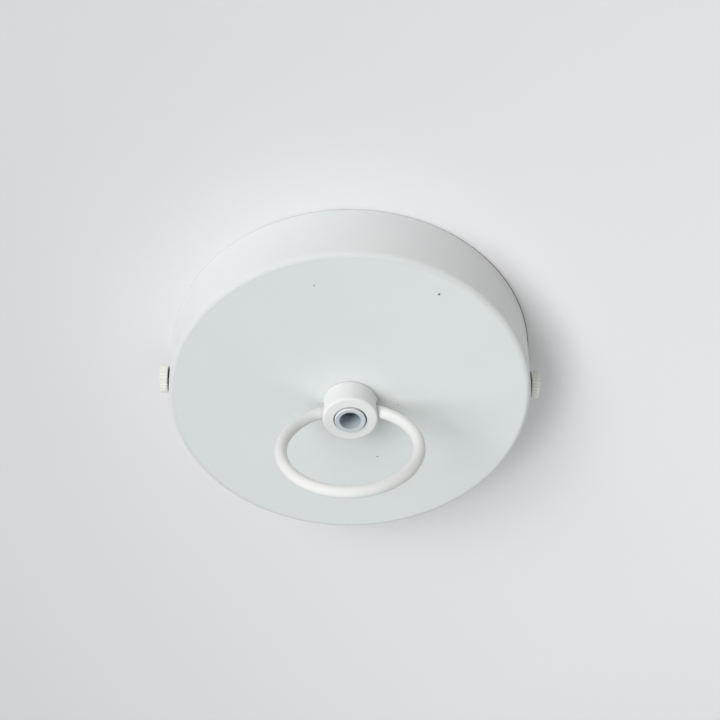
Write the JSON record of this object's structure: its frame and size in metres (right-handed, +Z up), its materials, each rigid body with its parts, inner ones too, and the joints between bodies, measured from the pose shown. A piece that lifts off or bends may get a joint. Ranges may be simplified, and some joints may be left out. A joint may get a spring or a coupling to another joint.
{
  "type": "electrical ceiling rose",
  "caption": "Round white side-fixed ceiling rose: a drawn steel cup over a strap bracket, with a turned boss, a hanging wire ring and a bushed cable outlet.",
  "frame": {"origin": "centre of the ceiling plane, where the bracket's top and the cup's rim meet the ceiling", "axes": "+Z up into the ceiling, so the rose hangs below the origin; +X along the line of the side screws"},
  "size_m": [0.1252, 0.12, 0.0704],
  "materials": {
    "white_powder_coat": "satin white powder coat on steel",
    "zinc_plated_steel": "bright zinc plate",
    "ivory_painted_steel": "ivory paint on the knurled head, bare dark steel behind it",
    "pale_bush_plastic": "milky blue-white moulded plastic",
    "white_nylon": "moulded nylon",
    "block_plastic": "moulded translucent nylon",
    "brass": "turned brass",
    "bright_screw_steel": "plated steel screws"
  },
  "bodies": {
    "root": {"canopy": "white_powder_coat", "ceiling_bracket": "zinc_plated_steel", "ring_boss": "white_powder_coat", "threaded_tube": "zinc_plated_steel", "cable_bush": "pale_bush_plastic", "toothed_washer": "zinc_plated_steel", "lock_nut": "zinc_plated_steel", "cord_grip": "white_nylon", "cord_grip_screw": "white_nylon", "terminal_block": "block_plastic", "live_terminal": "brass", "neutral_terminal": "brass", "earth_terminal": "brass", "terminal_screws": "bright_screw_steel", "terminal_block_screw": "bright_screw_steel", "earth_screw": "brass", "earth_cup_washer": "brass", "earth_toothed_washer": "bright_screw_steel"},
    "ring": {"hanging_ring": "white_powder_coat"},
    "left_screw": {"left_thumb_screw": "ivory_painted_steel"},
    "right_screw": {"right_thumb_screw": "ivory_painted_steel"}
  },
  "joints": [
    {"name": "ring_swing", "type": "hinge", "parent": "root", "child": "ring", "pos_m": [0, 0, -0.0268], "axis": [0.9988, -0.0489, 0], "range_deg": [-86.6, 99.4]},
    {"name": "left_screw_turn", "type": "hinge", "parent": "root", "child": "left_screw", "pos_m": [-0.06, 0, -0.0122], "axis": [-1, 0, 0], "range_deg": [-360, 2160]},
    {"name": "right_screw_turn", "type": "hinge", "parent": "root", "child": "right_screw", "pos_m": [0.06, 0, -0.0122], "axis": [1, 0, 0], "range_deg": [-360, 2160]}
  ]
}
